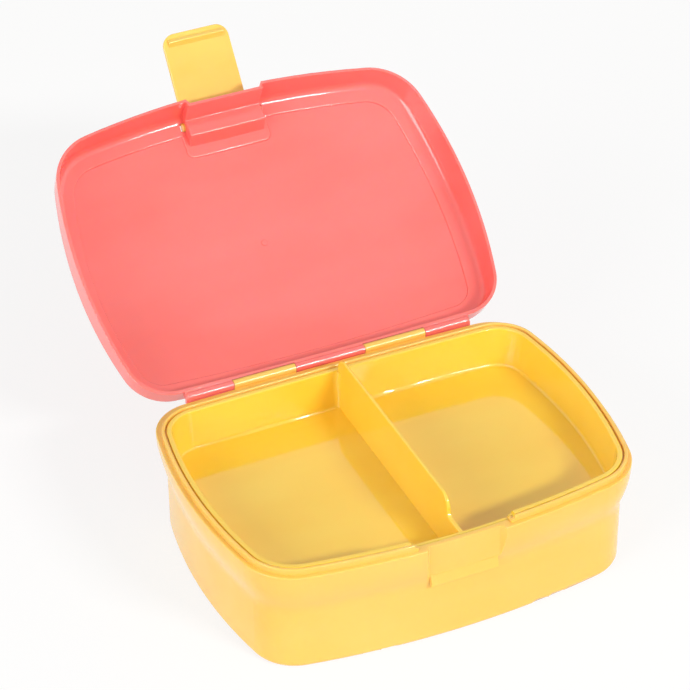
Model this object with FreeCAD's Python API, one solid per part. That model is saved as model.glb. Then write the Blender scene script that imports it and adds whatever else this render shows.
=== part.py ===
"""Lunch box: moulded base, lift-out tray with a divider, crowned lid on a pin hinge, and a latch clip.

Millimetres, +Z up. The origin is under the middle of the rim, on the surface that the box stands on, and
the front with the latch faces -Y. The lid and the clip are drawn closed and then turned to their open stops.
"""
import FreeCAD, Part
import math
import os

Vector = FreeCAD.Vector
ALONG_X = Vector(1, 0, 0)
ALONG_Y = Vector(0, 1, 0)
UP = Vector(0, 0, 1)

# Plan of the rim: width, depth, the radii of its bowed sides and corners, and how far back it is widest
box_width = 175.0
box_depth = 126.4
end_bow = 207.6
end_bow_back = 4.9
front_bow = 358.0
rear_bow = 3000.0
front_corner = 23.4
rear_corner = 18.8

# Base: straight lower wall, flared band above the waist, ledge for the lid and a lip inside it
base_height = 48.4
waist_height = 27.0
waist_inset = 3.8
flare_turn = 0.28
base_wall = 1.8
base_floor = 2.0
base_draft = 0.2
foot_radius = 2.8
floor_radius = 2.5
ledge_width = 1.8
ledge_round = 0.5
lip_thickness = 1.3
lip_height = 2.9
lip_round = 0.45
lip_gap = 39.2
lip_end_round = 1.8

# Rear shelf: the lip and the tray keep clear of the hinge by this depth
shelf_depth = 3.2
shelf_thickness = 2.2

# Tray: hangs by its rim on a step inside the lip
seat_width = 1.4
rim_groove = 0.7
tray_clearance = 0.3
tray_rim = 1.4
tray_rim_drop = 0.5
tray_rim_round = 0.45
tray_wall = 1.1
tray_floor = 1.5
tray_depth = 17.6
tray_draft = 1.45
tray_floor_radius = 1.2
tray_front_drop = 2.6

# Divider moulded into the tray
divider_top = 1.3
divider_foot = 2.8
divider_rise = 6.2
divider_set_back = 10.8
divider_step_round = 6.2
divider_foot_round = 2.5
divider_rear_round = 5.0
divider_edge_round = 0.45
divider_joint_round = 2.5

# Latch recess in the front of the base, and the catch bar across it
recess_width = 30.8
recess_flare = 1.7
recess_inset = 2.6
recess_round = 0.8
bar_width = 28.4
bar_height = 5.2
bar_nose = 1.2
bar_rise = 1.6
bar_depth = 2.3
bar_round = 0.5

# Lid: drafted wall under a crowned top with a raised panel
lid_wall = 1.3
lid_top = 1.6
lid_height = 24.1
lid_gap = 0.2
lid_draft = 1.4
lid_edge_radius = 5.0
lid_rim_round = 0.4
crown_along = 593.0
crown_across = 250.0
panel_inset = 9.4
panel_raise = 0.8
panel_margin = 2.0
panel_edge_round = 0.5
panel_notch_round = 3.0
gate_radius = 1.4
gate_height = 0.5
gate_round = 0.4

# Hinge: five knuckles on one pin behind the rim
hinge_back = 1.3
hinge_rise = 1.2
knuckle_radius = 1.85
hinge_pin_radius = 0.9
hinge_fit = 0.06
hinge_width = 127.0
base_knuckle_in = 15.3
base_knuckle_out = 43.0
knuckle_gap = 0.3
knuckle_relief = 0.3
knuckle_end_wall = 1.6
knuckle_end_round = 1.4
knuckle_web_lean = 40.0
heel_height = 1.3
stop_gap = 0.1
lid_open_angle = 147.65

# Clip: plate with a hook, on a barrel with trunnions that turn in the lid's pocket
pivot_back = 6.3
pivot_rise = 15.2
clip_width = 30.2
clip_taper = 0.3
clip_thickness = 2.2
clip_reach = 5.1
clip_corner = 5.5
clip_edge_round = 0.5
clip_clearance = 0.5
hood_round = 3.3
barrel_radius = 2.4
trunnion_radius = 1.8
trunnion_fit = 0.08
trunnion_stand = 0.9
hook_drop = 1.6
hook_height = 1.5
hook_slope = 2.0
hook_depth = 1.7
hook_round = 0.5
hook_width = 25.0
pocket_wall = 1.2
pocket_floor_gap = 0.9
pocket_lean = 1.6
pocket_round = 0.6
pocket_side_gap = 0.5
pocket_back = 5.3
pocket_slope = 5.0
clip_open_angle = 69.7

# Places that follow from the sizes above
rim_front = -box_depth / 2
rim_rear = box_depth / 2
lip_rear = rim_rear - shelf_depth
lip_top = base_height + lip_height
lip_inset = ledge_width + lip_thickness
seat_inset = lip_inset + seat_width
seat_height = lip_top - tray_rim_drop - tray_rim
tray_rim_top = seat_height + tray_rim
tray_rim_inset = lip_inset + rim_groove
tray_inset = seat_inset + tray_clearance
tray_front = rim_front + tray_inset
tray_floor_top = tray_rim_top - tray_depth
tray_bottom = tray_floor_top - tray_floor
tray_front_top = tray_rim_top - tray_front_drop
panel_front = rim_front + recess_inset
lid_bottom = base_height + lid_gap
lid_peak = lid_bottom + lid_height
hinge_y = rim_rear + hinge_back
hinge_z = base_height + hinge_rise
bar_bottom = waist_height + bar_rise
bar_top = bar_bottom + bar_height
bar_front = rim_front + waist_inset - bar_depth
clip_inner = bar_front - clip_clearance
pivot_y = rim_front + pivot_back
pivot_z = base_height + pivot_rise
pocket_floor = pivot_z - barrel_radius - pocket_floor_gap
pocket_half = recess_width / 2 + pocket_side_gap
hinge_axis = Vector(0, hinge_y, hinge_z)
pivot_axis = Vector(0, pivot_y, pivot_z)


class Outline:
    """Plan outline made of four bowed sides and four tangent corner arcs, each with its own centre.

    All the arcs keep their centres when the outline is set in, so a wall section turned about each centre
    in order makes one smooth wall.
    """

    def __init__(self, rear_edge):
        right_end = (Vector(box_width / 2 - end_bow, end_bow_back, 0), end_bow)
        front = (Vector(0, rim_front + front_bow, 0), front_bow)
        rear = (Vector(0, rear_edge - rear_bow, 0), rear_bow)
        front_right = (corner_centre(right_end, front, front_corner), front_corner)
        rear_right = (corner_centre(right_end, rear, rear_corner), rear_corner)
        circles = [
            right_end,
            rear_right,
            rear,
            left_of(rear_right),
            left_of(right_end),
            left_of(front_right),
            front,
            front_right,
        ]
        starts = [
            touch_point(right_end, front_right),
            touch_point(right_end, rear_right),
            touch_point(rear, rear_right),
            touch_point(rear, left_of(rear_right)),
            touch_point(left_of(right_end), left_of(rear_right)),
            touch_point(left_of(right_end), left_of(front_right)),
            touch_point(front, left_of(front_right)),
            touch_point(front, front_right),
        ]
        self.arcs = []
        for circle, start, end in zip(circles, starts, starts[1:] + starts[:1]):
            centre, radius = circle
            first = angle_of(start - centre)
            turn = (angle_of(end - centre) - first) % 360
            self.arcs.append((centre, radius, first, turn))

    def sector(self, number, section):
        """One arc's stretch of a wall, from a section drawn as a wire of inset and height."""
        centre, radius, first, turn = self.arcs[number]
        face = Part.Face(section)
        face.translate(Vector(-radius, 0, 0))
        face.rotate(Vector(), UP, first + 180)
        face.translate(centre)
        return face.revolve(centre, UP, turn)

    def ring(self, section, numbers=range(8)):
        """Wall of the given section along the whole outline, or along some of its arcs."""
        stretches = [self.sector(number, section) for number in numbers]
        return stretches[0].fuse(stretches[1:]).removeSplitter()

    def plate(self, inset, bottom, top):
        """Flat plate inside the outline, between two heights."""
        edges = []
        for centre, radius, first, turn in self.arcs:
            circle = Part.Circle(centre + UP * bottom, UP, radius - inset)
            edges.append(circle.toShape(math.radians(first), math.radians(first + turn)))
        return Part.Face(Part.Wire(edges)).extrude(UP * (top - bottom))

    def filled(self, inset_low, bottom, inset_high, top, edge_round=0):
        """Solid block with sloped sides and an optional rounding of its lower edge."""
        join = rear_corner / 2
        section = profile([
            (join, bottom),
            (inset_low, bottom, edge_round),
            (inset_high, top),
            (join, top),
        ])
        return self.ring(section).fuse(self.plate(join, bottom, top)).removeSplitter()


def angle_of(direction):
    """Plan angle of a direction, in degrees."""
    return math.degrees(math.atan2(direction.y, direction.x))


def left_of(circle):
    """The same circle on the left half."""
    centre, radius = circle
    return (Vector(-centre.x, centre.y, centre.z), radius)


def corner_centre(end_circle, side_circle, radius):
    """Centre of the corner arc that touches the right end's circle and a side's circle from within."""
    first, first_radius = end_circle
    second, second_radius = side_circle
    reach = first_radius - radius
    other_reach = second_radius - radius
    span = second - first
    along = (reach ** 2 - other_reach ** 2 + span.Length ** 2) / (2 * span.Length)
    across = math.sqrt(reach ** 2 - along ** 2)
    forward = span * (1 / span.Length)
    sideways = UP.cross(forward)
    foot = first + forward * along
    return max(foot + sideways * across, foot - sideways * across, key=lambda point: point.x)


def touch_point(circle, corner_circle):
    """Point where a corner arc touches a side's circle."""
    centre, radius = circle
    direction = corner_circle[0] - centre
    return centre + direction * (radius / direction.Length)


def profile(points):
    """Closed wire through (inset, height) corners, each with an optional rounding radius.

    A corner given as ("bow", inset, height, sag) is reached along an arc that bulges by its sag.
    """
    corners = []
    for point in points:
        bow = point[0] == "bow"
        across, up = point[1:3] if bow else point[:2]
        corners.append({
            "spot": Vector(across, 0, up),
            "sag": point[3] if bow else 0,
            "round": 0 if bow or len(point) < 3 else point[2],
        })
    pieces = []
    for number, corner in enumerate(corners):
        before = corners[number - 1]["spot"]
        after = corners[(number + 1) % len(corners)]["spot"]
        start, end, bend = rounded_corner(before, corner["spot"], after, corner["round"])
        corner.update(arrive=start, leave=end, bend=bend)
    for number, corner in enumerate(corners):
        start = corners[number - 1]["leave"]
        end = corner["arrive"]
        if corner["sag"]:
            chord = end - start
            bulge = chord.cross(ALONG_Y) * (corner["sag"] / chord.Length)
            pieces.append(Part.Arc(start, (start + end) * 0.5 + bulge, end).toShape())
        elif (end - start).Length > 1e-6:
            pieces.append(Part.makeLine(start, end))
        if corner["bend"]:
            pieces.append(corner["bend"])
    return Part.Wire(pieces)


def rounded_corner(before, spot, after, radius):
    """Where a rounded corner starts and ends, and its arc."""
    if not radius:
        return spot, spot, None
    back = (before - spot).normalize()
    onward = (after - spot).normalize()
    half = back.getAngle(onward) / 2
    reach = radius / math.tan(half)
    middle = (back + onward).normalize()
    centre = spot + middle * (radius / math.sin(half))
    start = spot + back * reach
    end = spot + onward * reach
    return start, end, Part.Arc(start, centre - middle * radius, end).toShape()


def across_box(points, half_width, middle=0):
    """Solid from an outline of (y, height) corners with optional rounding, drawn out along X."""
    face = Part.Face(profile(points))
    face.rotate(Vector(), UP, 90)
    face.translate(ALONG_X * (middle - half_width))
    return face.extrude(ALONG_X * (2 * half_width))


def block(x_range, y_range, z_range):
    """Box between the given limits."""
    size = [high - low for low, high in (x_range, y_range, z_range)]
    return Part.makeBox(*size, Vector(x_range[0], y_range[0], z_range[0]))


def rod(radius, low, high, axis):
    """Round bar along X between two places."""
    return Part.makeCylinder(radius, high - low, Vector(low, axis.y, axis.z), ALONG_X)


def base_wall_ring(plan):
    """Wall of the base in one section: foot, waist, flare, ledge and inside face, with the floor.

    The flare leaves the waist upright, turns from hollow to bulging part of the way up, and ends upright.
    """
    inner = waist_inset + base_wall
    join = inner + base_draft + foot_radius
    rise = base_height - ledge_round - waist_height
    lean = math.atan(waist_inset / rise)
    sag = math.hypot(waist_inset, rise) / 2 * math.tan(lean / 2)
    hollow_sag = -sag * flare_turn
    bulge_sag = sag * (1 - flare_turn)
    return plan.ring(profile([
        (join, 0),
        (waist_inset + base_draft, 0, foot_radius),
        (waist_inset, waist_height),
        ("bow", waist_inset * (1 - flare_turn), waist_height + rise * flare_turn, hollow_sag),
        ("bow", 0, base_height - ledge_round, bulge_sag),
        (0, base_height, ledge_round),
        (seat_inset, base_height),
        (seat_inset, base_height - 2 * shelf_thickness),
        (inner, waist_height),
        (inner + base_draft, base_floor, floor_radius),
        (join, base_floor),
    ])).fuse(plan.plate(join, 0, base_floor))


def lip_ring(rim_plan, lip_plan):
    """Lip with the tray's step inside it, and the shelf that joins it to the rim at the rear."""
    underside = base_height - shelf_thickness
    lip = lip_plan.ring(profile([
        (ledge_width, underside),
        (ledge_width, lip_top, lip_round),
        (lip_inset, lip_top, lip_round),
        (lip_inset, seat_height),
        (seat_inset, seat_height),
        (seat_inset, underside),
    ]))
    shelf = rim_plan.plate(ledge_width, underside, base_height)
    return lip.fuse(shelf.cut(lip_plan.plate(lip_inset, 0, lip_top)))


def flared_space(half, bend):
    """Tall space at the latch, of the given half width behind the bend and opening in front of it."""
    reach = 2 * front_corner
    front_half = half + recess_flare * (reach / recess_inset)
    corners = [
        Vector(-half, bend, 0),
        Vector(-half, 0, 0),
        Vector(half, 0, 0),
        Vector(half, bend, 0),
        Vector(front_half, bend - reach, 0),
        Vector(-front_half, bend - reach, 0),
    ]
    return Part.Face(Part.makePolygon(corners + corners[:1])).extrude(UP * (2 * lid_peak))


def recess_space(plan):
    """Latch recess: its back follows the bowed front and is rounded into the sides."""
    above = lip_top + lip_height
    back = plan.sector(6, profile([
        (recess_inset, waist_height),
        (recess_inset, above),
        (-front_corner, above),
        (-front_corner, waist_height),
    ]))
    bend = panel_front + recess_inset
    space = back.common(flared_space(recess_width / 2 - recess_flare, bend))
    corners = [edge for edge in space.Edges
               if edge.BoundBox.ZLength > lip_height and edge.BoundBox.YMin > rim_front]
    return space.makeFillet(recess_round, corners)


def gap_space(half, bottom, top):
    """Gap in the front of an upright wall, which leaves the wall's upper corners rounded beside it."""
    sag = lip_end_round * (1 - math.sqrt(0.5))
    wide = half + lip_end_round
    face = Part.Face(profile([
        (-half, bottom),
        (half, bottom),
        (half, top - lip_end_round),
        ("bow", wide, top, -sag),
        (wide, 2 * top),
        (-wide, 2 * top),
        (-wide, top),
        ("bow", -half, top - lip_end_round, -sag),
    ]))
    face.translate(ALONG_Y * -box_depth)
    return face.extrude(ALONG_Y * (box_depth + panel_front + front_corner))


def catch_bar():
    """Bar across the recess that the hook goes under: a ramp out of the panel to a rounded nose."""
    back = panel_front + base_wall / 2
    return across_box([
        (back, bar_bottom),
        (bar_front, bar_bottom, bar_round),
        (bar_front, bar_bottom + bar_nose, bar_round),
        (panel_front, bar_top),
        (back, bar_top),
    ], bar_width / 2)


def base_knuckles():
    """Two knuckles behind the rim, each on a web that comes up from the flared wall."""
    lean = math.radians(knuckle_web_lean)
    length = base_knuckle_out - base_knuckle_in - 2 * knuckle_gap
    solids = []
    for side in (-1, 1):
        middle = side * (base_knuckle_in + base_knuckle_out) / 2
        solids.append(across_box([
            (rim_rear - ledge_width, base_height - 2 * shelf_thickness),
            (rim_rear, base_height - shelf_thickness),
            (hinge_y, hinge_z - knuckle_radius),
            (hinge_y, hinge_z),
            (hinge_y - knuckle_radius * math.cos(lean), hinge_z - knuckle_radius * math.sin(lean)),
            (rim_rear - ledge_round, base_height),
            (rim_rear - ledge_width, base_height),
        ], length / 2, middle))
        solids.append(rod(knuckle_radius, middle - length / 2, middle + length / 2, hinge_axis))
    return solids


def lid_knuckle_spans():
    """Where the lid's three knuckles start and end."""
    return [
        (-hinge_width / 2, -base_knuckle_out),
        (-base_knuckle_in, base_knuckle_in),
        (base_knuckle_out, hinge_width / 2),
    ]


def base_shell():
    """The base with its lip, latch recess, catch bar and hinge knuckles."""
    rim_plan = Outline(rim_rear)
    lip_plan = Outline(lip_rear)
    opening = gap_space(lip_gap / 2, base_height, lip_top)
    grooves = [rod(knuckle_radius + knuckle_relief, low - knuckle_gap, high + knuckle_gap, hinge_axis)
               for low, high in lid_knuckle_spans()]
    solid = base_wall_ring(rim_plan).fuse(lip_ring(rim_plan, lip_plan))
    solid = solid.cut([opening, recess_space(rim_plan)] + grooves)
    solid = solid.fuse([catch_bar()] + base_knuckles()).removeSplitter()
    return solid.cut(rod(hinge_pin_radius + hinge_fit, -hinge_width, hinge_width, hinge_axis))


def divider():
    """Divider across the tray, thicker at its foot, stepped down at the front to clear the lid's pocket."""
    foot = tray_floor_top - tray_floor / 2
    high = tray_rim_top + divider_rise
    front = tray_front + tray_wall / 2
    rear = lip_rear - tray_inset - tray_wall / 2
    step = tray_front + tray_wall + divider_set_back
    plate = across_box([
        (front, foot),
        (front, tray_front_top),
        (step, tray_front_top, divider_foot_round),
        (step, high, divider_step_round),
        (rear, high, divider_rear_round),
        (rear, foot),
    ], divider_foot)
    corners = [
        Vector(-divider_foot / 2, -box_depth, foot),
        Vector(divider_foot / 2, -box_depth, foot),
        Vector(divider_top / 2, -box_depth, high),
        Vector(-divider_top / 2, -box_depth, high),
    ]
    taper = Part.Face(Part.makePolygon(corners + corners[:1])).extrude(ALONG_Y * (2 * box_depth))
    solid = plate.common(taper)
    edges = [edge for edge in solid.Edges
             if edge.BoundBox.ZMax > tray_rim_top and edge.BoundBox.YLength > divider_top / 2]
    return solid.makeFillet(divider_edge_round, edges)


def divider_root():
    """Hollow-sided root that runs the divider into the tray's sloped rear wall."""
    wall = lip_rear - tray_inset - tray_wall - tray_draft
    half = (divider_top + divider_foot) / 4
    reach = half + divider_joint_round
    sag = divider_joint_round * (1 - math.sqrt(0.5))
    face = Part.Face(profile([
        (-reach, wall),
        ("bow", -half, wall - divider_joint_round, sag),
        (half, wall - divider_joint_round),
        ("bow", reach, wall, sag),
        (reach, wall + tray_wall / 2),
        (-reach, wall + tray_wall / 2),
    ]))
    face.rotate(Vector(), ALONG_X, -90)
    face.translate(UP * (tray_floor_top - tray_floor / 2))
    root = face.extrude(UP * (tray_depth + tray_floor / 2 - tray_rim_round))
    slope = math.degrees(math.atan(tray_draft / tray_depth))
    root.rotate(Vector(0, wall, tray_floor_top), ALONG_X, -slope)
    return root


def inner_tray():
    """Tray with a rim that rests on the base's step, a low front at the latch, and the divider."""
    plan = Outline(lip_rear)
    inner = tray_inset + tray_wall
    outer_radius = tray_floor_radius + tray_floor
    join = inner + tray_draft + outer_radius
    shell = plan.ring(profile([
        (join, tray_bottom),
        (tray_inset + tray_draft, tray_bottom, outer_radius),
        (tray_inset, seat_height),
        (tray_rim_inset, seat_height),
        (tray_rim_inset, tray_rim_top, tray_rim_round),
        (inner, tray_rim_top, tray_rim_round),
        (inner + tray_draft, tray_floor_top, tray_floor_radius),
        (join, tray_floor_top),
    ])).fuse(plan.plate(join, tray_bottom, tray_floor_top))
    low_front = gap_space((lip_gap + tray_wall) / 2, tray_front_top, tray_rim_top)
    return shell.cut(low_front).fuse([divider(), divider_root()]).removeSplitter()


def crown(raise_by):
    """Barrel-shaped body whose top is the lid's crown, curved along and across."""
    radius = crown_across + raise_by
    sweep = crown_along + raise_by
    axis_height = lid_peak - panel_raise - crown_across
    reach = box_width
    low = axis_height - radius
    drop = sweep - math.sqrt(sweep ** 2 - reach ** 2)
    left = Vector(-reach, 0, low + drop)
    right = Vector(reach, 0, low + drop)
    left_axis = Vector(-reach, 0, axis_height)
    right_axis = Vector(reach, 0, axis_height)
    outline = Part.Wire([
        Part.Arc(left, Vector(0, 0, low), right).toShape(),
        Part.makeLine(right, right_axis),
        Part.makeLine(right_axis, left_axis),
        Part.makeLine(left_axis, left),
    ])
    return Part.Face(outline).revolve(left_axis, ALONG_X, 360)


def panel_notch():
    """Room kept free of the raised panel round the clip's pocket, rounded at its corners."""
    half = pocket_half + pocket_wall + panel_margin
    back = pivot_y + pocket_back + pocket_slope + pocket_wall + panel_margin
    face = Part.Face(profile([
        (-half, -box_depth),
        (half, -box_depth),
        (half, back, panel_notch_round),
        (-half, back, panel_notch_round),
    ]))
    face.rotate(Vector(), ALONG_X, -90)
    return face.extrude(UP * (2 * lid_peak))


def lid_form(plan, inset, bottom, raise_by, edge_radius, rim_round=0):
    """Drafted wall under a crowned top with a rounded edge and a raised panel."""
    within = lid_bottom + lid_height / 4
    top = lid_peak + lid_wall
    form = plan.filled(inset, bottom, inset + lid_draft, top, rim_round).common(crown(raise_by))
    form = form.makeFillet(edge_radius, [edge for edge in form.Edges if edge.BoundBox.ZMin > within])
    panel = plan.plate(panel_inset, within, top)
    panel = panel.common(crown(raise_by + panel_raise)).cut(panel_notch())
    whole = form.fuse(panel)
    drawn = [edge.CenterOfMass for edge in form.Edges + panel.Edges]
    foot = [edge for edge in whole.Edges
            if min((edge.CenterOfMass - spot).Length for spot in drawn) > panel_edge_round / 100]
    return whole.makeFillet(panel_edge_round, foot)


def pocket_corners(offset, floor_round=0):
    """Side view of the clip's pocket, or of the walls round it when set off by their thickness."""
    mouth = panel_front + offset
    face = mouth + pocket_lean
    floor = pocket_floor - offset
    far = lid_peak + lid_wall
    back = pivot_y + pocket_back + offset
    return [
        (-box_depth, lid_bottom - lid_wall),
        (mouth, lid_bottom - lid_wall),
        (face, floor, floor_round),
        (back, floor, floor_round),
        (back + pocket_slope, far),
        (-box_depth, far),
    ]


def pocket_walls():
    """Walls round the clip's pocket, rounded where they stand out inside the lid."""
    half = pocket_half + pocket_wall
    solid = across_box(pocket_corners(pocket_wall, pocket_round), box_width)
    solid = solid.common(flared_space(half, panel_front))
    edges = [edge for edge in solid.Edges
             if edge.BoundBox.XLength < pocket_side_gap
             and edge.BoundBox.YMin > panel_front + pocket_wall / 2
             and edge.BoundBox.ZMin < pivot_z]
    return solid.makeFillet(pocket_round, edges)


def lid_knuckle(low, high):
    """One knuckle of the lid with its web and its heel, rounded where it ends the hinge."""
    barrel = rod(knuckle_radius, low, high, hinge_axis)
    outer_ends = [edge for edge in barrel.Edges
                  if edge.BoundBox.XLength < knuckle_gap
                  and abs(edge.BoundBox.XMin) > base_knuckle_out + knuckle_gap]
    if outer_ends:
        barrel = barrel.makeFillet(knuckle_end_round, outer_ends)
    web = block((low, high), (rim_rear - lid_wall / 2, hinge_y),
                (lid_bottom, hinge_z + knuckle_radius))
    heel_top = hinge_z - knuckle_radius
    heel = block((low, high), (rim_rear + stop_gap, hinge_y + heel_height / 2),
                 (heel_top - heel_height, hinge_z))
    heel.rotate(hinge_axis, ALONG_X, lid_open_angle)
    return barrel.fuse([web, heel])


def gate_mark():
    """Round mark under the middle of the lid's top, where the mould was filled."""
    mark = Part.makeCylinder(gate_radius, lid_top, Vector(0, 0, lid_peak - lid_top - gate_height), UP)
    lower_edge = min(mark.Edges, key=lambda edge: edge.BoundBox.ZMax)
    return mark.makeFillet(gate_round, [lower_edge])


def lid_shell():
    """Lid in its closed place: hollow crowned shell with the clip's pocket and the hinge knuckles."""
    plan = Outline(rim_rear)
    outside = lid_form(plan, 0, lid_bottom, 0, lid_edge_radius, lid_rim_round)
    inside = lid_form(plan, lid_wall, lid_bottom - lid_wall, -lid_top, lid_edge_radius - lid_wall)
    pocket = across_box(pocket_corners(0), box_width).common(flared_space(pocket_half, panel_front))
    hole_half = pocket_half + pocket_wall + 2 * trunnion_stand
    holes = rod(trunnion_radius + trunnion_fit, -hole_half, hole_half, pivot_axis)
    grooves = []
    for side in (-1, 1):
        low, high = sorted((side * base_knuckle_in, side * base_knuckle_out))
        grooves.append(rod(knuckle_radius + knuckle_relief, low, high, hinge_axis))
    knuckles = [lid_knuckle(low, high) for low, high in lid_knuckle_spans()]
    solid = outside.cut([inside.cut(pocket_walls()), pocket, holes] + grooves)
    solid = solid.fuse(knuckles + [gate_mark()]).removeSplitter()
    pin_start = knuckle_end_wall - hinge_width / 2
    return solid.cut(rod(hinge_pin_radius + hinge_fit, pin_start, hinge_width, hinge_axis))


def clip_plate(tip, hood):
    """Plate of the clip with its hood, narrower and round-cornered at the tip, with rounded edges."""
    outer = clip_inner - clip_thickness
    half = clip_width / 2
    tip_half = half - clip_taper
    side_view = across_box([
        (outer, tip),
        (outer, hood, hood_round),
        (pivot_y, hood),
        (pivot_y, hood - clip_thickness),
        (clip_inner, hood - clip_thickness, clip_thickness / 2),
        (clip_inner, tip),
    ], half)
    tongue = Part.Face(profile([
        (-half, hood + clip_thickness),
        (-tip_half, tip, clip_corner),
        (tip_half, tip, clip_corner),
        (half, hood + clip_thickness),
    ]))
    tongue.translate(ALONG_Y * -box_depth)
    plate = side_view.common(tongue.extrude(ALONG_Y * (2 * box_depth)))
    edges = [edge for edge in plate.Edges
             if edge.BoundBox.YLength < clip_edge_round and edge.BoundBox.ZMin < bar_bottom]
    return plate.makeFillet(clip_edge_round, edges)


def latch_clip():
    """Clip in its latched place: plate, hook, hood, and the barrel with its trunnions."""
    tip = bar_bottom - clip_reach
    hood = pivot_z + barrel_radius
    half = clip_width / 2
    hook_top = bar_bottom - hook_drop
    crest = clip_inner + hook_depth
    root = clip_inner - clip_thickness / 2
    hook = across_box([
        (root, hook_top + hook_slope),
        (clip_inner, hook_top + hook_slope),
        (crest, hook_top, hook_round),
        (clip_inner, hook_top - hook_height),
        (root, hook_top - hook_height),
    ], hook_width / 2)
    barrel = rod(barrel_radius, -half, half, pivot_axis)
    pin_half = pocket_half + pocket_wall + trunnion_stand
    trunnions = rod(trunnion_radius, -pin_half, pin_half, pivot_axis)
    return clip_plate(tip, hood).fuse([barrel, hook, trunnions]).removeSplitter()


def hinge_pin():
    """Rod through the five knuckles."""
    low = knuckle_end_wall + knuckle_gap - hinge_width / 2
    return rod(hinge_pin_radius, low, hinge_width / 2 - knuckle_gap, hinge_axis)


def opened(shape, axis, angle):
    """A piece turned back about an axis along X."""
    turned = shape.copy()
    turned.rotate(axis, ALONG_X, -angle)
    return turned


def build():
    """All the pieces, with the lid and the clip at their open stops."""
    clip = opened(latch_clip(), pivot_axis, clip_open_angle)
    return {
        "base_shell": base_shell(),
        "inner_tray": inner_tray(),
        "lid_shell": opened(lid_shell(), hinge_axis, lid_open_angle),
        "latch_clip": opened(clip, hinge_axis, lid_open_angle),
        "hinge_pin": hinge_pin(),
    }


os.makedirs("parts", exist_ok=True)
for name, shape in build().items():
    shape.exportStep(os.path.join("parts", name + ".step"))
    print(name, shape.isValid(), len(shape.Solids), round(shape.Volume))
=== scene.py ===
"""Looks and stage for a lunch box: a moulded base, a divided tray, a crowned lid on a pin hinge and a clip.

The solids of the frame are shown as they are. Each piece gets its own moulded plastic, and the stage gives a
pale floor, soft studio lamps and a camera.
"""

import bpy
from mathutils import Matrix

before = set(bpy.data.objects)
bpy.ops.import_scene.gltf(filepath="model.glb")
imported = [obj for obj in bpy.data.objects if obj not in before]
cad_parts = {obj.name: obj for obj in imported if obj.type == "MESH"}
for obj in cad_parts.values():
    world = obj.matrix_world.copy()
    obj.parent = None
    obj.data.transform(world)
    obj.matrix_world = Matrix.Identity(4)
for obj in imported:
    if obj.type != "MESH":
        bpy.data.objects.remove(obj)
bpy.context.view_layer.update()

import math

import bmesh
import bpy
from bpy.props import FloatProperty, FloatVectorProperty, PointerProperty
from mathutils import Matrix, Vector

bl_info = {
    "name": "Lunch Box Looks",
    "version": (1, 0, 0),
    "blender": (4, 5, 0),
    "location": "3D View > Sidebar > Lunch Box",
    "description": "Moulded plastics, steel pin, soft studio light and camera for a hinged lunch box",
    "category": "Object",
}

WHITE = (1, 1, 1, 1)
BLACK = (0, 0, 0, 1)

# Polypropylene bends light by this much, and part of the light sinks in, red the furthest. Depth in metres.
PLASTIC_IOR = 1.49
SINK_SHARE = 0.5
SINK_DEPTH = 0.0015
SINK_BY_COLOUR = (1.0, 0.7, 0.25)

# Flow bands run along the box. Pigment and gloss swing over the middle of the noise.
FLOW_STRETCH = (0.45, 1.0, 1.0)
FLOW_FROM = 0.3
FLOW_TO = 0.7
GLOSS_SWING = 0.02

# Height of the ripples in the cooled skin, in metres.
RIPPLE_HEIGHT = 0.000006

# Scuffs from wiping: long thin streaks, on the peaks of the noise only, that blur the gloss a little.
SCUFF_TURN = (0.3, 0.2, 0.5)
SCUFF_STRETCH = (0.05, 1.0, 1.0)
SCUFF_FROM = 0.6
SCUFF_TO = 0.75
SCUFF_BLUR = 0.08

# Drawing lines along the pin, with their depth in metres.
LINE_STRETCH = (0.02, 1.0, 1.0)
LINE_DEPTH = 0.000005

# Floor paint: width of its clouds, its darkest tone, and how far it turns white where it is seen.
FLOOR_CLOUD_MM = 400
FLOOR_DARKEST = 0.98
FLOOR_ROUGHNESS = 0.4
FLOOR_LIFT = 0.8
FLOOR_SQUARES = 8

# Lamps: places, aims and sizes in metres. The rounded edges along the box mirror the strip as thin lines.
BOX_MIDDLE = (0, 0.05, 0.05)
KEY_PLACE = (-1.7, -0.5, 0.8)
FILL_PLACE = (1.5, -0.7, 0.9)
SOFT_BOX_SIZE = (1.2, 1.2)
STRIP_PLACE = (0.58, -1.38, 1.02)
STRIP_AIM = (0.58, 0.05, 0.05)
STRIP_SIZE = (0.52, 0.15)

SENSOR_MM = 36


def linear(hex_colour):
    """Linear red, green and blue of an sRGB hex colour."""
    values = [int(hex_colour[place:place + 2], 16) / 255 for place in (1, 3, 5)]
    return tuple(v / 12.92 if v <= 0.04045 else ((v + 0.055) / 1.055) ** 2.4 for v in values)


def per_metre(millimetres):
    """Texture scale whose pattern repeats about once in the given length."""
    return 1000 / millimetres


def add_node(tree, kind, inputs=None, **settings):
    """Adds a node with its settings, and fills its inputs with values or with other nodes' outputs."""
    node = tree.nodes.new(kind)
    for name, value in settings.items():
        setattr(node, name, value)
    for name, value in (inputs or {}).items():
        if isinstance(value, bpy.types.NodeSocket):
            tree.links.new(value, node.inputs[name])
        else:
            node.inputs[name].default_value = value
    return node


def new_material(name):
    """Empty node material, ready for its own nodes."""
    material = bpy.data.materials.new(name)
    material.use_nodes = True
    material.node_tree.nodes.clear()
    return material


def colour_property(name, hex_colour, description):
    """Colour that a user may change, given as an sRGB hex value."""
    return FloatVectorProperty(
        name=name, description=description, subtype="COLOR", size=3, min=0, max=1, default=linear(hex_colour))


def length_property(name, millimetres, description):
    """Width of a pattern in millimetres, which is never zero."""
    return FloatProperty(name=name, description=description, min=0.001, default=millimetres)


def share_property(name, value, description):
    """Number from 0 to 1."""
    return FloatProperty(name=name, description=description, subtype="FACTOR", min=0, max=1, default=value)


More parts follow.
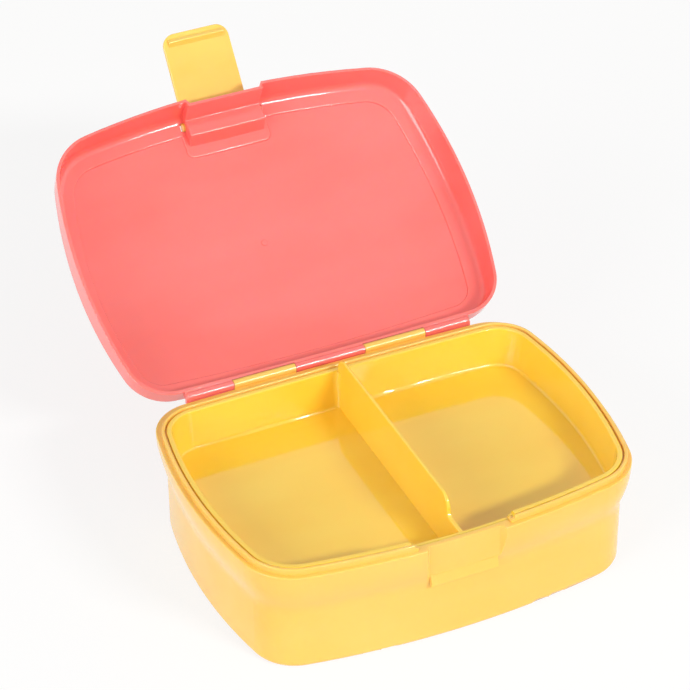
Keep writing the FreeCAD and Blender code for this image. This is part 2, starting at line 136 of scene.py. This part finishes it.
class BasePlastic(bpy.types.PropertyGroup):
    """Sun-yellow polypropylene of the base."""
    colour: colour_property("Colour", "#FCCC69", "Pigment of the base")
    deep_colour: colour_property("Deep colour", "#F9C65C", "Pigment where the melt ran thicker")
    roughness: share_property("Roughness", 0.16, "How far the polished tool's gloss is blurred")
    sheen: share_property("Sheen", 0.5, "Strength of the gloss, where one half is that of bare plastic")
    flow_mm: length_property("Flow width (mm)", 26.0, "Width of the soft bands left by the flowing melt")
    ripple_mm: length_property("Ripple width (mm)", 7.0, "Width of the shallow ripples of the cooled skin")
    hairline_mm: length_property("Hairline width (mm)", 0.9, "Width of the faint scuffs left by wiping")


class TrayPlastic(bpy.types.PropertyGroup):
    """Sun-yellow polypropylene of the tray."""
    colour: colour_property("Colour", "#FFD54C", "Pigment of the tray")
    deep_colour: colour_property("Deep colour", "#FDCE40", "Pigment where the melt ran thicker")
    roughness: share_property("Roughness", 0.07, "How far the polished tool's gloss is blurred")
    sheen: share_property("Sheen", 0.8, "Strength of the gloss, where one half is that of bare plastic")
    flow_mm: length_property("Flow width (mm)", 30.0, "Width of the soft bands left by the flowing melt")
    ripple_mm: length_property("Ripple width (mm)", 9.0, "Width of the shallow ripples of the cooled skin")
    hairline_mm: length_property("Hairline width (mm)", 0.9, "Width of the faint scuffs left by wiping")


class LidPlastic(bpy.types.PropertyGroup):
    """Coral polypropylene of the lid."""
    colour: colour_property("Colour", "#FC827D", "Pigment of the lid")
    deep_colour: colour_property("Deep colour", "#F87168", "Pigment where the melt ran thicker")
    roughness: share_property("Roughness", 0.09, "How far the polished tool's gloss is blurred")
    sheen: share_property("Sheen", 0.8, "Strength of the gloss, where one half is that of bare plastic")
    flow_mm: length_property("Flow width (mm)", 55.0, "Width of the soft bands left by the flowing melt")
    ripple_mm: length_property("Ripple width (mm)", 10.0, "Width of the shallow ripples of the cooled skin")
    hairline_mm: length_property("Hairline width (mm)", 0.9, "Width of the faint scuffs left by wiping")


class ClipPlastic(bpy.types.PropertyGroup):
    """Pale yellow polypropylene of the clip."""
    colour: colour_property("Colour", "#FCD568", "Pigment of the clip")
    deep_colour: colour_property("Deep colour", "#FACE5B", "Pigment where the melt ran thicker")
    roughness: share_property("Roughness", 0.12, "How far the polished tool's gloss is blurred")
    sheen: share_property("Sheen", 0.6, "Strength of the gloss, where one half is that of bare plastic")
    flow_mm: length_property("Flow width (mm)", 16.0, "Width of the soft bands left by the flowing melt")
    ripple_mm: length_property("Ripple width (mm)", 5.0, "Width of the shallow ripples of the cooled skin")
    hairline_mm: length_property("Hairline width (mm)", 0.9, "Width of the faint scuffs left by wiping")


class PinSteel(bpy.types.PropertyGroup):
    """Drawn steel of the hinge pin."""
    colour: colour_property("Colour", "#B9BBBD", "Steel between the drawing lines")
    line_colour: colour_property("Line colour", "#94979A", "Steel in the drawing lines")
    roughness: share_property("Roughness", 0.32, "How far the drawn surface blurs its reflections")
    line_mm: length_property("Line spacing (mm)", 0.25, "Spacing of the drawing lines round the pin")


class Stage(bpy.types.PropertyGroup):
    """Floor, lamps and camera."""
    floor_colour: colour_property("Floor", "#F4F3F1", "Pale floor under the box")
    floor_side: FloatProperty(
        name="Floor side", description="Side of the floor", unit="LENGTH", min=0.1, default=8.0)
    sky: FloatProperty(
        name="Sky", description="Strength of the even light from all round", min=0, default=0.43)
    key_power: FloatProperty(
        name="Key lamp", description="Power of the large lamp at the left", unit="POWER", min=0, default=21.0)
    fill_power: FloatProperty(
        name="Fill lamp", description="Power of the lamp at the right", unit="POWER", min=0, default=2.8)
    strip_power: FloatProperty(
        name="Strip lamp", description="Power of the front lamp that draws thin lines of light on edges",
        unit="POWER", min=0, default=19.0)
    eye: FloatVectorProperty(
        name="Eye", description="Place of the camera", subtype="TRANSLATION", unit="LENGTH", size=3,
        default=(-0.429763, -0.902806, 0.824749))
    aim: FloatVectorProperty(
        name="Aim", description="Point in the middle of the picture", subtype="TRANSLATION",
        unit="LENGTH", size=3, default=(0.01494, 0.08211, 0.040))
    roll: FloatProperty(
        name="Roll", description="Lean of the camera", subtype="ANGLE", default=math.radians(0.4886))
    lens: FloatProperty(
        name="Lens", description="Focal length in millimetres on a 36 mm frame", min=1, default=167.385)


class LunchBoxSettings(bpy.types.PropertyGroup):
    """All that a user would change."""
    base: PointerProperty(type=BasePlastic)
    tray: PointerProperty(type=TrayPlastic)
    lid: PointerProperty(type=LidPlastic)
    clip: PointerProperty(type=ClipPlastic)
    pin: PointerProperty(type=PinSteel)
    stage: PointerProperty(type=Stage)


def moulded_polypropylene(name, look):
    """Injection-moulded polypropylene from a polished tool.

    To the eye: a clean even colour with faint broad bands where the melt flowed, a soft gloss that wavers a
    little over the shallow ripples of the cooled skin and is dulled here and there by wiping, and light that
    sinks a short way into the wall. Real scuffs are finer than a pixel, so they are drawn coarser to show.
    """
    material = new_material(name)
    tree = material.node_tree
    place = add_node(tree, "ShaderNodeTexCoord")
    stretched = add_node(
        tree, "ShaderNodeMapping", {"Vector": place.outputs["Object"], "Scale": FLOW_STRETCH})
    flow = add_node(
        tree, "ShaderNodeTexNoise",
        {"Vector": stretched.outputs["Vector"], "Scale": per_metre(look.flow_mm),
         "Detail": 3.0, "Roughness": 0.45})
    bands = add_node(
        tree, "ShaderNodeMapRange",
        {"Value": flow.outputs["Fac"], "From Min": FLOW_FROM, "From Max": FLOW_TO})
    pigment = add_node(
        tree, "ShaderNodeMix",
        {"Factor": bands.outputs["Result"], "A": (*look.colour, 1), "B": (*look.deep_colour, 1)},
        data_type="RGBA")
    ripples = add_node(
        tree, "ShaderNodeTexNoise",
        {"Vector": place.outputs["Object"], "Scale": per_metre(look.ripple_mm),
         "Detail": 1.0, "Roughness": 0.3})
    skin = add_node(
        tree, "ShaderNodeBump",
        {"Strength": 1.0, "Distance": RIPPLE_HEIGHT, "Height": ripples.outputs["Fac"]})
    gloss = add_node(
        tree, "ShaderNodeMapRange",
        {"Value": flow.outputs["Fac"], "From Min": FLOW_FROM, "From Max": FLOW_TO,
         "To Min": look.roughness - GLOSS_SWING, "To Max": look.roughness + GLOSS_SWING})
    wiped = add_node(
        tree, "ShaderNodeMapping",
        {"Vector": place.outputs["Object"], "Rotation": SCUFF_TURN, "Scale": SCUFF_STRETCH})
    hairlines = add_node(
        tree, "ShaderNodeTexNoise",
        {"Vector": wiped.outputs["Vector"], "Scale": per_metre(look.hairline_mm), "Detail": 2.0})
    scuffs = add_node(
        tree, "ShaderNodeMapRange",
        {"Value": hairlines.outputs["Fac"], "From Min": SCUFF_FROM, "From Max": SCUFF_TO,
         "To Min": 0.0, "To Max": SCUFF_BLUR})
    worn = add_node(tree, "ShaderNodeMath", {0: gloss.outputs["Result"], 1: scuffs.outputs["Result"]})
    shader = add_node(
        tree, "ShaderNodeBsdfPrincipled",
        {"Base Color": pigment.outputs["Result"], "Roughness": worn.outputs["Value"],
         "Normal": skin.outputs["Normal"], "IOR": PLASTIC_IOR, "Specular IOR Level": look.sheen,
         "Subsurface Weight": SINK_SHARE, "Subsurface Radius": SINK_BY_COLOUR,
         "Subsurface Scale": SINK_DEPTH})
    add_node(tree, "ShaderNodeOutputMaterial", {"Surface": shader.outputs["BSDF"]})
    return material


def drawn_steel(name, look):
    """Bright steel wire, drawn through a die.

    To the eye: fine lines along its length that stretch the highlights across it. Real drawing lines are
    finer than a pixel, so they are drawn coarser to show.
    """
    material = new_material(name)
    tree = material.node_tree
    place = add_node(tree, "ShaderNodeTexCoord")
    along = add_node(
        tree, "ShaderNodeMapping", {"Vector": place.outputs["Object"], "Scale": LINE_STRETCH})
    lines = add_node(
        tree, "ShaderNodeTexNoise",
        {"Vector": along.outputs["Vector"], "Scale": per_metre(look.line_mm), "Detail": 2.0})
    tone = add_node(
        tree, "ShaderNodeMix",
        {"Factor": lines.outputs["Fac"], "A": (*look.colour, 1), "B": (*look.line_colour, 1)},
        data_type="RGBA")
    grooves = add_node(
        tree, "ShaderNodeBump", {"Strength": 1.0, "Distance": LINE_DEPTH, "Height": lines.outputs["Fac"]})
    shader = add_node(
        tree, "ShaderNodeBsdfPrincipled",
        {"Base Color": tone.outputs["Result"], "Metallic": 1.0, "Roughness": look.roughness,
         "Normal": grooves.outputs["Normal"]})
    add_node(tree, "ShaderNodeOutputMaterial", {"Surface": shader.outputs["BSDF"]})
    return material


def dress(node_name, material):
    """Gives a solid of the frame its material."""
    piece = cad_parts[node_name]
    piece.data.materials.clear()
    piece.data.materials.append(material)


class LUNCHBOX_OT_base(bpy.types.Operator):
    """Give the base its plastic"""
    bl_idname = "lunch_box.base"
    bl_label = "Base"

    def execute(self, context):
        dress("base_shell", moulded_polypropylene("base_moulded_polypropylene", context.scene.lunch_box.base))
        return {"FINISHED"}


class LUNCHBOX_OT_tray(bpy.types.Operator):
    """Give the divided tray its plastic"""
    bl_idname = "lunch_box.tray"
    bl_label = "Tray"

    def execute(self, context):
        dress("inner_tray", moulded_polypropylene("tray_moulded_polypropylene", context.scene.lunch_box.tray))
        return {"FINISHED"}


class LUNCHBOX_OT_lid(bpy.types.Operator):
    """Give the lid its plastic"""
    bl_idname = "lunch_box.lid"
    bl_label = "Lid"

    def execute(self, context):
        dress("lid_shell", moulded_polypropylene("lid_moulded_polypropylene", context.scene.lunch_box.lid))
        return {"FINISHED"}


class LUNCHBOX_OT_clip(bpy.types.Operator):
    """Give the latch clip its plastic"""
    bl_idname = "lunch_box.clip"
    bl_label = "Clip"

    def execute(self, context):
        dress("latch_clip", moulded_polypropylene("clip_moulded_polypropylene", context.scene.lunch_box.clip))
        return {"FINISHED"}


class LUNCHBOX_OT_pin(bpy.types.Operator):
    """Give the hinge pin its steel"""
    bl_idname = "lunch_box.pin"
    bl_label = "Hinge pin"

    def execute(self, context):
        dress("hinge_pin", drawn_steel("pin_drawn_steel", context.scene.lunch_box.pin))
        return {"FINISHED"}


def seen_share(tree):
    """Output that is 1 for what is seen directly, in a reflection or through glass, and otherwise 0."""
    path = add_node(tree, "ShaderNodeLightPath")
    seen_or_mirrored = add_node(
        tree, "ShaderNodeMath",
        {0: path.outputs["Is Camera Ray"], 1: path.outputs["Is Glossy Ray"]}, operation="MAXIMUM")
    seen_at_all = add_node(
        tree, "ShaderNodeMath",
        {0: seen_or_mirrored.outputs["Value"], 1: path.outputs["Is Transmission Ray"]}, operation="MAXIMUM")
    return seen_at_all.outputs["Value"]


def painted_floor(look):
    """Matt painted studio floor.

    To the eye: near white with faint clouds, so only the soft shadow of the box stands out on it.
    """
    material = new_material("matt_painted_floor")
    tree = material.node_tree
    place = add_node(tree, "ShaderNodeTexCoord")
    clouds = add_node(
        tree, "ShaderNodeTexNoise",
        {"Vector": place.outputs["Object"], "Scale": per_metre(FLOOR_CLOUD_MM), "Detail": 2.0})
    tone = add_node(
        tree, "ShaderNodeMapRange", {"Value": clouds.outputs["Fac"], "To Min": FLOOR_DARKEST, "To Max": 1.0})
    paint = add_node(
        tree, "ShaderNodeMix",
        {"Factor": tone.outputs["Result"], "A": BLACK, "B": (*look.floor_colour, 1)}, data_type="RGBA")
    matt = add_node(
        tree, "ShaderNodeBsdfDiffuse", {"Color": paint.outputs["Result"], "Roughness": FLOOR_ROUGHNESS})
    white = add_node(tree, "ShaderNodeEmission", {"Color": WHITE, "Strength": 1.0})
    lift = add_node(tree, "ShaderNodeMath", {0: seen_share(tree), 1: FLOOR_LIFT}, operation="MULTIPLY")
    both = add_node(
        tree, "ShaderNodeMixShader",
        {0: lift.outputs["Value"], 1: matt.outputs["BSDF"], 2: white.outputs["Emission"]})
    add_node(tree, "ShaderNodeOutputMaterial", {"Surface": both.outputs["Shader"]})
    return material


def lay_floor(look):
    """Square floor at the level that the box stands on."""
    mesh = bpy.data.meshes.new("floor")
    shape = bmesh.new()
    bmesh.ops.create_grid(shape, x_segments=FLOOR_SQUARES, y_segments=FLOOR_SQUARES, size=look.floor_side / 2)
    shape.to_mesh(mesh)
    shape.free()
    floor = bpy.data.objects.new("floor", mesh)
    bpy.context.scene.collection.objects.link(floor)
    mesh.materials.append(painted_floor(look))


def hang_lamp(name, place, aim, size, power):
    """Soft lamp box of a width and a height that faces a point."""
    data = bpy.data.lights.new(name, "AREA")
    data.shape = "RECTANGLE"
    data.size, data.size_y = size
    data.energy = power
    lamp = bpy.data.objects.new(name, data)
    bpy.context.scene.collection.objects.link(lamp)
    lamp.location = place
    lamp.rotation_euler = (Vector(aim) - Vector(place)).to_track_quat("-Z", "Y").to_euler()


def light_world(look):
    """Even light from all round, with a white backdrop wherever it is seen directly or in a reflection."""
    world = bpy.data.worlds.new("studio")
    bpy.context.scene.world = world
    world.use_nodes = True
    tree = world.node_tree
    tree.nodes.clear()
    even = add_node(tree, "ShaderNodeBackground", {"Color": WHITE, "Strength": look.sky})
    white = add_node(tree, "ShaderNodeBackground", {"Color": WHITE, "Strength": 1.0})
    both = add_node(
        tree, "ShaderNodeMixShader",
        {0: seen_share(tree), 1: even.outputs["Background"], 2: white.outputs["Background"]})
    add_node(tree, "ShaderNodeOutputWorld", {"Surface": both.outputs["Shader"]})


def place_camera(look):
    """Camera at the eye, turned to the aim point, with a slight lean."""
    data = bpy.data.cameras.new("camera")
    data.lens = look.lens
    data.sensor_width = SENSOR_MM
    camera = bpy.data.objects.new("camera", data)
    bpy.context.scene.collection.objects.link(camera)
    facing = (Vector(look.aim) - Vector(look.eye)).normalized()
    level = facing.cross(Vector((0, 0, 1))).normalized()
    upright = level.cross(facing)
    right = level * math.cos(look.roll) - upright * math.sin(look.roll)
    up = upright * math.cos(look.roll) + level * math.sin(look.roll)
    turn = Matrix((right, up, -facing)).transposed()
    camera.matrix_world = Matrix.Translation(look.eye) @ turn.to_4x4()
    bpy.context.scene.camera = camera


class LUNCHBOX_OT_stage(bpy.types.Operator):
    """Lay the floor, hang the lamps and place the camera"""
    bl_idname = "lunch_box.stage"
    bl_label = "Stage"

    def execute(self, context):
        look = context.scene.lunch_box.stage
        context.scene.view_settings.view_transform = "Standard"
        lay_floor(look)
        light_world(look)
        hang_lamp("key_lamp", KEY_PLACE, BOX_MIDDLE, SOFT_BOX_SIZE, look.key_power)
        hang_lamp("fill_lamp", FILL_PLACE, BOX_MIDDLE, SOFT_BOX_SIZE, look.fill_power)
        hang_lamp("strip_lamp", STRIP_PLACE, STRIP_AIM, STRIP_SIZE, look.strip_power)
        place_camera(look)
        return {"FINISHED"}


class LUNCHBOX_PT_panel(bpy.types.Panel):
    """Sizes and colours of the lunch box"""
    bl_idname = "LUNCHBOX_PT_panel"
    bl_label = "Lunch Box"
    bl_space_type = "VIEW_3D"
    bl_region_type = "UI"
    bl_category = "Lunch Box"

    def draw(self, context):
        settings = context.scene.lunch_box
        for operator in PIECE_OPERATORS:
            group = operator.bl_idname.split(".")[1]
            box = self.layout.box()
            box.operator(operator.bl_idname)
            look = getattr(settings, group)
            for name in look.__annotations__:
                box.prop(look, name)


PIECE_OPERATORS = (
    LUNCHBOX_OT_base,
    LUNCHBOX_OT_tray,
    LUNCHBOX_OT_lid,
    LUNCHBOX_OT_clip,
    LUNCHBOX_OT_pin,
    LUNCHBOX_OT_stage,
)
CLASSES = (
    BasePlastic,
    TrayPlastic,
    LidPlastic,
    ClipPlastic,
    PinSteel,
    Stage,
    LunchBoxSettings,
    *PIECE_OPERATORS,
    LUNCHBOX_PT_panel,
)


def register():
    for item in CLASSES:
        bpy.utils.register_class(item)
    bpy.types.Scene.lunch_box = PointerProperty(type=LunchBoxSettings)


def unregister():
    del bpy.types.Scene.lunch_box
    for item in reversed(CLASSES):
        bpy.utils.unregister_class(item)


def main():
    register()
    bpy.ops.lunch_box.base()
    bpy.ops.lunch_box.tray()
    bpy.ops.lunch_box.lid()
    bpy.ops.lunch_box.clip()
    bpy.ops.lunch_box.pin()
    bpy.ops.lunch_box.stage()


if __name__ == "__main__":
    main()
